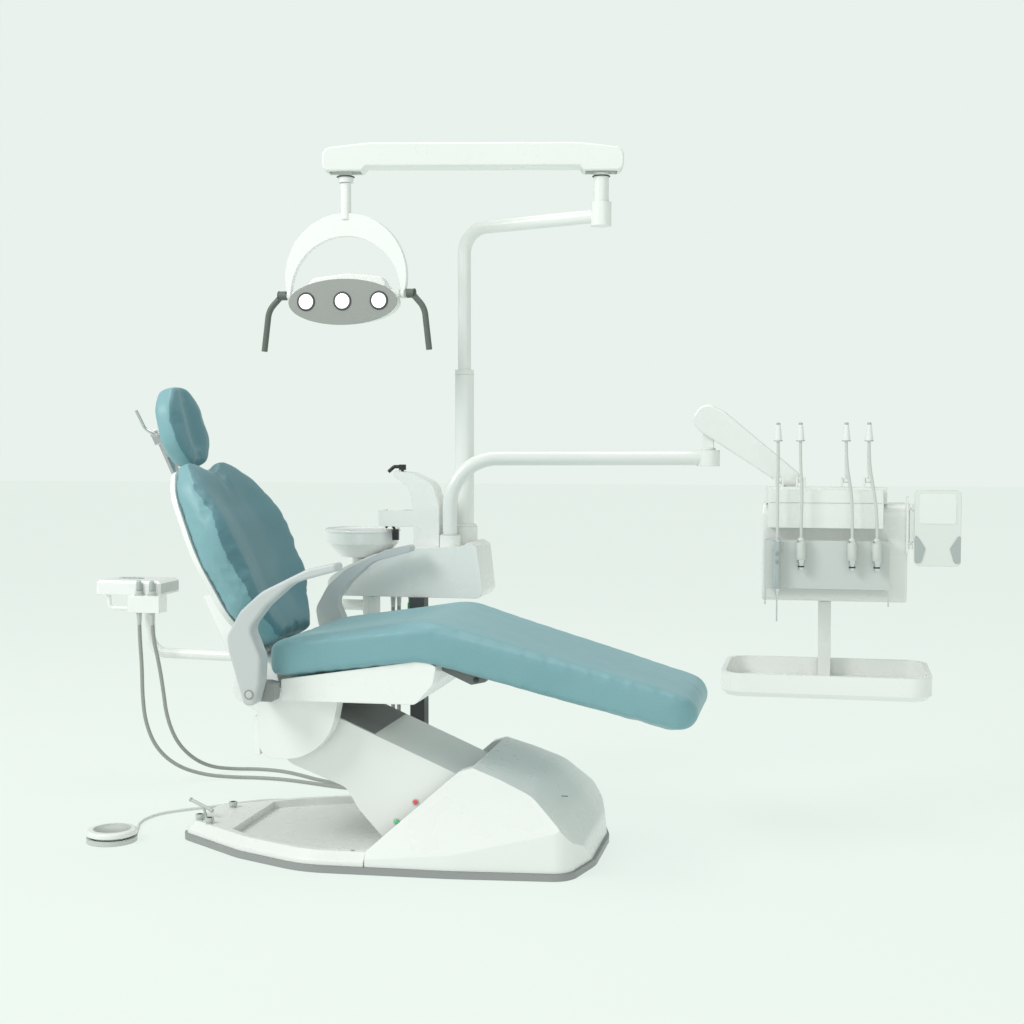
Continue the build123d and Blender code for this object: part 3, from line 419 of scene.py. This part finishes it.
# ---------------------------------------------------------------- hoses
PEDAL_HOSE = [(-668, -92, 6.5), (-680, -52, 5), (-704, 0, 4.5), (-712, 62, 4.5), (-694, 122, 4.5), (-646, 172, 4.5),
              (-590, 214, 4.5), (-540, 262, 4.5), (-488, 308, 4.5), (-426, 330, 4.5), (-358, 326, 4.5),
              (-300, 324, 4.5), (-248, 320, 6), (-200, 318, 8)]
SUCTION_A = [(-902, 424, 501.5), (-902, 424, 440), (-897, 427, 350), (-898, 430, 260), (-892, 436, 180),
             (-866, 450, 104), (-816, 480, 48), (-748, 524, 16), (-672, 556, 6), (-588, 566, 6), (-500, 556, 6),
             (-416, 528, 6), (-330, 500, 6), (-254, 480, 8), (-194, 464, 28), (-160, 455, 84), (-148, 452, 160),
             (-151, 450, 250), (-148, 452, 345), (-151, 450, 430), (-149, 451, 510), (-149, 451, 571.5)]
SUCTION_B = [(-862, 424, 501.5), (-862, 424, 440), (-846, 430, 360), (-838, 440, 280), (-834, 452, 200),
             (-818, 480, 122), (-792, 534, 62), (-760, 596, 24), (-712, 652, 8), (-640, 676, 6), (-560, 664, 6),
             (-486, 622, 6), (-414, 572, 6), (-330, 534, 6), (-248, 512, 8), (-188, 500, 28), (-154, 490, 84),
             (-142, 486, 160), (-144, 484, 250), (-141, 486, 345), (-144, 484, 430), (-142, 485, 510),
             (-142, 485, 571.5)]
HANG_Y = 466
WHIP_X = (906, 964, 1082, 1140)
HOSE_X = (906, 968, 1100, 1163)
WHIP_BEND = (0, 6, 14, 14)


def sleeve(name, at, axis, low_r, high_r, length, body):
    """A tapered, ribbed strain relief where a hose meets its fitting."""
    profile = [(low_r + 0.2, -1)]
    ribs = max(3, int(length / 4))
    for k in range(ribs):
        radius = low_r + (high_r - low_r) * k / ribs
        height = length * k / ribs
        profile += [(radius, height), (radius, height + length / ribs * 0.6),
                    (radius - 0.5, height + length / ribs * 0.7)]
    profile.append((high_r - 0.4, length))
    return turned(name, profile, at, axis, "soft_grey", body, 32)


def hose(name, node, points, diameter, material, body, to=None, pieces=()):
    """A free hose along its route, riding on its body. With to set, it is instead a mesh tube fixed where it lies, on
    no body.
    """
    metres = [Vector(p) * MM for p in points]
    if to:
        line = curve_to_mesh(spline_curve(name + "_line", metres, 0))
        made = add(name, curve_to_mesh(spline_curve(name + "_tube", metres, diameter / 2)), material, None)
        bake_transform(made)
    else:
        made = spline_curve(name, metres, diameter / 2)
        made.data.materials.append(M[material])
        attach(made, body)
    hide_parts(node)
    return made


def relief(name, points, inner, length, body, end=-1):
    """A strain relief at one end of a hose's route, along the hose."""
    order = points if end == 0 else points[::-1]
    along = (Vector(order[1]) - Vector(order[0])).normalized()
    return sleeve(name, order[0], along, inner + 2.6, inner + 0.5, length, body)


pedal_reliefs = [relief("pedal_hose_relief", PEDAL_HOSE, 3.4, 24, "base", 0),
                 relief("plate_inlet_relief", PEDAL_HOSE, 3.4, 24, "base")]
hose("pedal_hose_line", "pedal_hose", PEDAL_HOSE, 0.008, "hose_white", "base",
     pieces=pedal_reliefs)
hose("suction_line_a", "suction_hose_a", SUCTION_A, 0.011, "hose_grey",
     "assistant", ("base", (-0.86, 0.45, 0.12), (-0.60, 0.56, 0.006)),
     [relief("suction_relief_a", SUCTION_A, 5.2, 34, "assistant", 0),
      relief("unit_relief_a", SUCTION_A, 5.2, 38, "base")])
hose("suction_line_b", "suction_hose_b", SUCTION_B, 0.011, "hose_grey",
     "assistant", ("base", (-0.81, 0.50, 0.12), (-0.62, 0.67, 0.006)),
     [relief("suction_relief_b", SUCTION_B, 5.2, 34, "assistant", 0),
      relief("unit_relief_b", SUCTION_B, 5.2, 38, "base")])
for index, (top_x, low_x, bend) in enumerate(zip(WHIP_X, HOSE_X, WHIP_BEND)):
    route = [(top_x, HANG_Y, 995.5), (top_x, HANG_Y, 940), (top_x + bend, HANG_Y + 2, 866), (low_x, HANG_Y, 800),
             (low_x, HANG_Y, 736.5)]
    hose(f"handpiece_line_{index + 1}", f"handpiece_hose_{index + 1}", route, 0.008,
         "hose_white", f"whip_{index + 1}",
         ("console", (top_x * MM, HANG_Y * MM, 0.99), (low_x * MM, HANG_Y * MM, 0.76)), ["handpieces"])


# ---------------------------------------------------------------- small pieces
ARM_SIDE_Y = -140
ARMREST_PIVOT = (-262, 414)
ARMREST_SIDE_Y = 333
BOWL_AT = (-242, 470)
LAMP_AT = (-215, 250)
LENS_Z = 1364
LENS_STEP = 100
BAR_UNDER_Z = 1690
VIEWER_AT = (1319, 768)
SUCTION_X = (-902, -862)
SUCTION_Y = 424


def ring(name, at, axis, inner, outer, height, body, material):
    """A closed disc with rounded edges and a sunk middle: a ring, once something stands in its middle."""
    r = min(0.4 * height, 0.3 * (outer - inner))
    profile = [(inner, 0), (outer - r, 0), (outer, r), (outer, height - r), (outer - r, height), (inner + r, height),
               (inner, height - r)]
    return turned(name, profile, at, axis, material, body)


def button(name, at, axis, radius, height, body, material):
    """A low domed cap."""
    profile = [(radius, -0.5), (radius, 0.55 * height), (0.92 * radius, 0.82 * height), (0.7 * radius, 0.95 * height),
               (0.35 * radius, height), (0.05 * radius, height)]
    return turned(name, profile, at, axis, material, body, 40)


def side_slab(name, points, y0, y1, material, body, bevel=1.0):
    """A side view of (x, z, corner radius) in mm, from y0 to y1."""
    return slab(name, points, y1 - y0, at_mm(0, y1, 0, (90, 0, 0)), material, body, bevel)


def status_lights():
    for name, x, z, colour in (("stop_light", 80, 136, "red"), ("ready_light", 33, 86, "green")):
        ring(name + "_bezel", (x, ARM_SIDE_Y, z), (0, -1, 0), 5.4, 8.2, 2.0, "lift_arm", "soft_grey")
        button(name, (x, ARM_SIDE_Y, z), (0, -1, 0), 5.4, 3.0, "lift_arm", colour)


def arm_top_painted_shadow():
    # a thin grey sheet on the lift arm's top under the seat: painted shadow for the shade the seat casts there
    top = [(-205, 359, 0), (-100, 327.4, 0), (-22, 294.8, 0), (-22, 296.6, 0), (-100, 329.2, 0), (-204, 361, 0)]
    side_slab("arm_top_painted_shadow", top, -133, 133, "painted_shadow_and_bracket", "lift_arm", 0.5)


def knee_bracket():
    side = [(146, 474, 4), (262, 446, 6), (262, 436, 6), (226, 428, 8), (176, 450, 10), (150, 462, 4)]
    side_slab("knee_bracket", side, -176, -150, "painted_shadow_and_bracket", "seat", 1.5)
    side_slab("knee_bracket_far", side, 150, 176, "painted_shadow_and_bracket", "seat", 1.5)
    button("knee_clip", (238, -176, 440), (0, -1, 0), 6, 6, "seat", "dark")


def armrest_caps():
    x, z = ARMREST_PIVOT
    for name, way in (("near", -1), ("far", 1)):
        y = way * ARMREST_SIDE_Y
        ring(f"armrest_cap_ring_{name}", (x, y, z), (0, way, 0), 8.5, 11.5, 1.6, f"armrest_{name}", "edge_grey")
        button(f"armrest_cap_{name}", (x, y, z), (0, way, 0), 8.5, 2.4, f"armrest_{name}", "soft_grey")


def unit_fittings():
    turned("water_filter", [(5, 0), (9, 3), (9, 26), (6.5, 30), (6.5, 42), (8.5, 44), (8.5, 52)], (-95, 440, 520),
           (0, 0, 1), "green_plastic", "base", 40)
    turned("filter_drain", [(3.2, 0), (4.4, 2), (4.4, 16), (6, 18), (6, 23)], (-95, 440, 498), (0, 0, 1), "soft_grey",
           "base", 32)
    block("unit_bracket", (-224, 404, 520), (-203, 430, 572), "white_paint", "base", 2.5, 5)
    block("bowl_rinse_block", (-139, 407, 724), (-122, 424, 754), "black", "base", 2.5, 3)
    smooth_tube("bowl_rinse_nozzle", [Vector(p) * MM for p in
                ((-136, 432, 748), (-146, 440, 764), (-160, 446, 768), (-168, 449, 756))], 0.0035, "black", "base")
    ring("pole_collar", (45, 500, 758), (0, 0, 1), 26.2, 33, 8, "base", "white_paint")
    ring("post_collar", (23, 420, 738), (0, 0, 1), 20.4, 27, 5, "base", "soft_grey")
    ring("bowl_rim_band", (*BOWL_AT, 744), (0, 0, 1), 103.2, 105.2, 6, "bowl", "bowl")
    ring("bowl_drain_ring", (*BOWL_AT, 681.6), (0, 0, 1), 9, 17, 2, "bowl", "chrome")


def lamp_trim():
    x, y = LAMP_AT
    for k in (-1, 0, 1):
        ring(f"lens_ring_{k + 2}", (x + LENS_STEP * k, y - 33.6, LENS_Z), (0, -1, 0), 19.6, 24.6, 3.0, "lamp_head",
             "dark")
        button(f"lens_dome_{k + 2}", (x + LENS_STEP * k, y - 34.4, LENS_Z), (0, -1, 0), 19.4, 3.2, "lamp_head", "lens")
    side_slab("lamp_visor", [(x - 112, 1404, 20), (x - 96, 1430, 26), (x, 1440, 90), (x + 96, 1430, 26),
                             (x + 112, 1404, 20)], y + 2, y + 40, "white", "lamp_head", 5)
    for side in (-1, 1):
        ring(f"grip_ring_{side + 2}", (x + side * 186, y, 1384), (side, 0, 0), 4, 13, 3, "lamp_head", "dark")
    # dark rings under the lamp bar's ends at the stem tops: painted shadow in the gaps there
    for name, at, body in (("elbow", (445, 380), "lamp_elbow"), ("hanger", (x, y), "lamp_hanger")):
        ring(f"{name}_painted_gap_shadow", (*at, BAR_UNDER_Z), (0, 0, 1), 17, 24, 3, body, "dark")


def console_trim():
    block("console_seam", (884, 495.2, 832.4), (1176, 496.4, 833.8), "soft_grey", "console", 0.3)
    block("console_side_strip", (1179.4, 505, 776), (1181.2, 534, 858), "clear_grey", "console", 0.6)
    for k, x in enumerate(HOSE_X):
        hook = [(-14, 0, 3), (14, 0, 3), (14, 12, 5), (8, 12, 2), (8, 4, 4), (-8, 4, 4), (-8, 12, 2), (-14, 12, 5)]
        slab(f"holder_hook_{k + 1}", hook, 20, at_mm(x, 486, 708, (0, 0, 180)), "panel_grey", "console", 1.0)
    for k, x in enumerate(HOSE_X[1:]):
        turned(f"coupling_sleeve_{k + 2}", [(9.4, 682), (11.6, 684), (12, 700), (11.6, 728), (8.6, 738), (5, 743)],
               (x, HANG_Y, 0), (0, 0, 1), "hose_white", "console", 40)
        ring(f"coupling_ring_{k + 2}", (x, HANG_Y, 664), (0, 0, 1), 7.6, 8.8, 4, "console", "black")
    turned("syringe_body", [(8, 604), (9.6, 607), (9.9, 650), (9.4, 700), (10.2, 728), (7, 738), (5, 743)],
           (HOSE_X[0], HANG_Y, 0), (0, 0, 1), "clear_grey", "console", 40)
    for k, dz in enumerate((0, 22)):
        button(f"syringe_button_{k + 1}", (HOSE_X[0], HANG_Y - 9, 700 - dz), (0, -1, 0), 5, 3.4, "console", "key")
    for k, x in enumerate(WHIP_X):
        ring(f"whip_collar_{k + 1}", (x, HANG_Y, 996), (0, 0, 1), 4.5, 12, 3.4, f"whip_{k + 1}", "clear_grey")
        button(f"whip_tip_{k + 1}", (x, HANG_Y, 1039), (0, 0, 1), 5.6, 7, f"whip_{k + 1}", "clear_grey")
    x, z = VIEWER_AT
    for side in (-1, 1):
        ear = [(side * 59, -8, 10), (side * 31, -53, 8), (side * 42, -92, 10), (side * 58, -92, 10)]
        points = [(x + a, z + b, r) for a, b, r in (ear if side < 0 else ear[::-1])]
        side_slab(f"viewer_ear_{side + 2}", points, 511.8, 514.2, "clear_grey", "viewer", 0.7)
    side_slab("viewer_window", [(1272, 780, 8), (1366, 780, 8), (1366, 858, 8), (1272, 858, 8)], 512.8, 514.2,
              "viewer_glass", "viewer", 0.5)


def assistant_trim():
    pad = [(-38, -15, 15), (38, -15, 15), (38, 15, 15), (-38, 15, 15)]
    slab("key_pad", pad, 2.4, at_mm(-962, 500, 593.2, (0, 0, 4)), "clear_grey", "assistant", 0.9)
    for k in range(4):
        button(f"key_{k + 1}", (-986 + 16 * k, 498.5 + 1.1 * k, 595.2), (0, 0, 1), 5, 1.8, "assistant", "key")
    block("console_end_panel", (-843, 444, 558), (-840.6, 560, 586), "soft_grey", "assistant", 0.8, 1)
    for k, x in enumerate(SUCTION_X):
        ring(f"holder_lip_{k + 1}", (x, SUCTION_Y, 552.6), (0, 0, 1), 10.8, 14.6, 3.6, "assistant", "soft_grey")
        turned(f"suction_grip_{k + 1}", [(6.8, 566), (8.6, 568), (8.2, 580), (7.2, 590), (5.4, 596)], (x, SUCTION_Y, 0),
               (0, 0, 1), "clear_grey", "assistant", 36)


def base_trim():
    ring("pedal_groove", (-705, -145, 30.4), (0, 0, 1), 44, 47, 1.2, "pedal", "soft_grey")
    for name, at, body in (("near", (-462, -104), "button_near"), ("rear", (-500, -76), "button_rear"),
                           ("far", (-468, 62), "button_far")):
        ring(f"foot_button_rim_{name}", (*at, 58), (0, 0, 1), 6.5, 8.5, 3.6, body, "clear_grey")
    # a dark strip on the hood for its vent slit: painted shade for the dark inside the slit
    block("hood_slot", (420, -62, 148.2), (436, -58, 149.4), "dark", "base", 0.3)
    for k, (x, y) in enumerate(((-36, -268), (-36, 268))):
        button(f"deck_screw_{k + 1}", (x, y, 45.6), (0, 0, 1), 5, 1.6, "base", "steel")
    for side in (-1, 1):
        button(f"joystick_end_{side + 2}", (-536 if side < 0 else -478, -46 if side < 0 else -54,
                                            88 if side < 0 else 66), (side, -0.14 * side, -0.38 * side), 5.4, 5,
               "joystick", "soft_grey")


status_lights()
arm_top_painted_shadow()
knee_bracket()
armrest_caps()
unit_fittings()
lamp_trim()
console_trim()
assistant_trim()
base_trim()


# ---------------------------------------------------------------- cushions
def grown_pad(node, voxel, cap, pressure, soften):
    """The CAD solid's mesh, rounded and then blown up a little by cloth simulation."""
    made = bpy.data.objects.new(node + "_form", NODES[node].data.copy())
    bpy.context.collection.objects.link(made)
    made.data = applied(made, ("REMESH", {"mode": "VOXEL", "voxel_size": voxel}),
                        ("SMOOTH", {"factor": 0.5, "iterations": soften}))
    rest = [v.co.copy() for v in made.data.vertices]
    cloth = made.modifiers.new("cloth", "CLOTH")
    cloth.settings.use_pressure = True
    cloth.settings.uniform_pressure_force = pressure
    cloth.settings.effector_weights.gravity = 0
    cloth.settings.quality = 4
    cloth.point_cache.frame_end = 20
    for moment in range(1, 21):
        bpy.context.scene.frame_set(moment)
    grown = bpy.data.meshes.new_from_object(made.evaluated_get(bpy.context.evaluated_depsgraph_get()))
    made.modifiers.clear()
    bpy.context.scene.frame_set(1)
    for vertex, start in zip(grown.vertices, rest):
        step = vertex.co - start
        if step.length > cap:
            vertex.co = start + step.normalized() * cap
    made.data = grown
    made.data = applied(made, ("SMOOTH", {"factor": 0.5, "iterations": 3}))
    made.data = applied(made, ("SUBSURF", {"levels": 1, "render_levels": 1}))
    mesh = made.data
    bpy.data.objects.remove(made)
    return mesh


def smoothstep(value, low, high):
    t = min(1.0, max(0.0, (value - low) / (high - low)))
    return t * t * (3 - 2 * t)


def padded_piece(name, node, body, mesh, shaped=None, painted_shade_faces=None):
    """Sinks the mesh where shaped(point) says by how many metres, and gives the faces that the last argument picks by
    (centre, normal) the darker teal copy: painted shade on the sides turned away from the key light.
    """
    if shaped:
        depths = [shaped(v.co) for v in mesh.vertices]
        normals = [v.normal.copy() for v in mesh.vertices]
        for vertex, normal, depth in zip(mesh.vertices, normals, depths):
            vertex.co -= normal * depth
        mesh.update()
    made = add(name, mesh, "leather", body)
    if painted_shade_faces:
        # the picked faces get the darker teal copy: painted shade
        mesh.materials.append(M["leather_painted_shade"])
        for face in mesh.polygons:
            face.material_index = 1 if painted_shade_faces(face.center, face.normal) else 0
    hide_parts(node)
    return made


RECLINE_AT = Vector((-0.318, 0, 0.415))
LEAN = math.radians(25)
BACK_UP = Vector((-math.sin(LEAN), 0, math.cos(LEAN)))
BACK_FRONT = Vector((math.cos(LEAN), 0, math.sin(LEAN)))
HEAD_AT = Vector((-0.570, 0, 1.030))
HEAD_TILT = math.radians(15)
HEAD_UP = Vector((-math.sin(HEAD_TILT), 0, math.cos(HEAD_TILT)))
HEAD_FRONT = Vector((math.cos(HEAD_TILT), 0, math.sin(HEAD_TILT)))


def back_shape(point):
    """The hollow for the sitter's back, and the crease from the notch downwards."""
    place = point - RECLINE_AT
    u, y, n = place.dot(BACK_UP), place.y, place.dot(BACK_FRONT)
    front = smoothstep(n, 0.045, 0.07)
    dish = (1 - smoothstep(abs(y), 0.05, 0.20)) * smoothstep(u, 0.08, 0.2) * (1 - smoothstep(u, 0.42, 0.54))
    notch = math.exp(-((y / 0.018) ** 2)) * smoothstep(u, 0.44, 0.53)
    return front * (0.020 * dish + 0.008 * notch)


def head_shape(point):
    """The upright channel where the head rests, on the front face."""
    place = point - HEAD_AT
    u, y, n = place.dot(HEAD_UP), place.y, place.dot(HEAD_FRONT)
    front = smoothstep(n, 0.0, 0.02)
    ends = 1 - smoothstep(abs(u - 0.004), 0.05, 0.095)
    return front * 0.014 * math.exp(-((y / 0.034) ** 2)) * ends


def seat_shape(point):
    """A shallow seat hollow, fading out towards the knee."""
    top = smoothstep(point.z, 0.50, 0.53)
    dish = (1 - smoothstep(abs(point.y), 0.06, 0.22)) * smoothstep(point.x, -0.25, -0.12)
    return top * 0.008 * dish * (1 - smoothstep(point.x, 0.02, 0.12))


padded_piece("seat_pad", "seat_cushion", "seat", grown_pad("seat_cushion", 0.007, 0.008, 3.0, 22), seat_shape)
# the back's and the headrest's front faces get the darker teal copy: painted shade where they turn from the light
padded_piece("back_pad", "back_cushion", "back", grown_pad("back_cushion", 0.006, 0.010, 3.0, 26), back_shape,
             lambda c, n: n.dot(BACK_FRONT) > 0.62)
padded_piece("head_pad", "headrest_cushion", "headrest", grown_pad("headrest_cushion", 0.0045, 0.005, 3.0, 14),
             head_shape, lambda c, n: n.dot(HEAD_FRONT) > 0.5)


# ---------------------------------------------------------------- light and floor
def area_light(name, at, to, size, energy):
    data = bpy.data.lights.new(name, "AREA")
    data.shape = "RECTANGLE"
    data.size = size[0]
    data.size_y = size[1]
    data.energy = energy
    light = bpy.data.objects.new(name, data)
    light.location = at
    light.rotation_euler = (Vector(to) - Vector(at)).to_track_quat("-Z", "Y").to_euler()
    bpy.context.collection.objects.link(light)


BACKGROUND = linear(233, 242, 236)


def surroundings():
    """A bright even studio. The floor is nearly the background's colour, and a faint horizon shows."""
    scene = bpy.context.scene
    scene.view_settings.view_transform = "Standard"
    world = bpy.data.worlds.new("studio")
    scene.world = world
    world.use_nodes = True
    nodes = world.node_tree.nodes
    links = world.node_tree.links
    paint = nodes["Background"]
    paint.inputs["Color"].default_value = BACKGROUND
    seen = nodes.new("ShaderNodeLightPath").outputs["Is Camera Ray"]
    links.new(spread(nodes, links, seen, 0, 1, 0.62, 1.0), paint.inputs["Strength"])
    area_light("key_light", (-3.2, -3.0, 4.0), (0, 0, 0.7), (2.2, 2.2), 150)
    area_light("fill_light", (2.2, -4.2, 2.2), (0.3, 0, 0.6), (2.6, 2.6), 26)
    area_light("top_light", (0.2, 0.8, 4.8), (0.3, 0.2, 0.5), (2.6, 2.6), 60)
    mesh = bpy.data.meshes.new("floor")
    shape = bmesh.new()
    bmesh.ops.create_grid(shape, x_segments=2, y_segments=2, size=30)
    shape.to_mesh(mesh)
    shape.free()
    floor = bpy.data.objects.new("floor", mesh)
    bpy.context.collection.objects.link(floor)
    floor.location = (0, 0, -0.0005)
    made, nodes, links, shader = blank("floor_paint")
    coords = object_coords(nodes, links, 1)
    drift = noise(nodes, links, coords, 0.4, 2)
    one, two = linear(232, 242, 236), linear(234, 243, 237)
    links.new(blended(nodes, links, drift, shade(one, 0.16), shade(two, 0.16)), shader.inputs["Base Color"])
    links.new(blended(nodes, links, drift, one, two), shader.inputs["Emission Color"])
    shader.inputs["Emission Strength"].default_value = 0.88
    shader.inputs["Roughness"].default_value = 0.95
    shader.inputs["Specular IOR Level"].default_value = 0.0
    floor.data.materials.append(made)


surroundings()
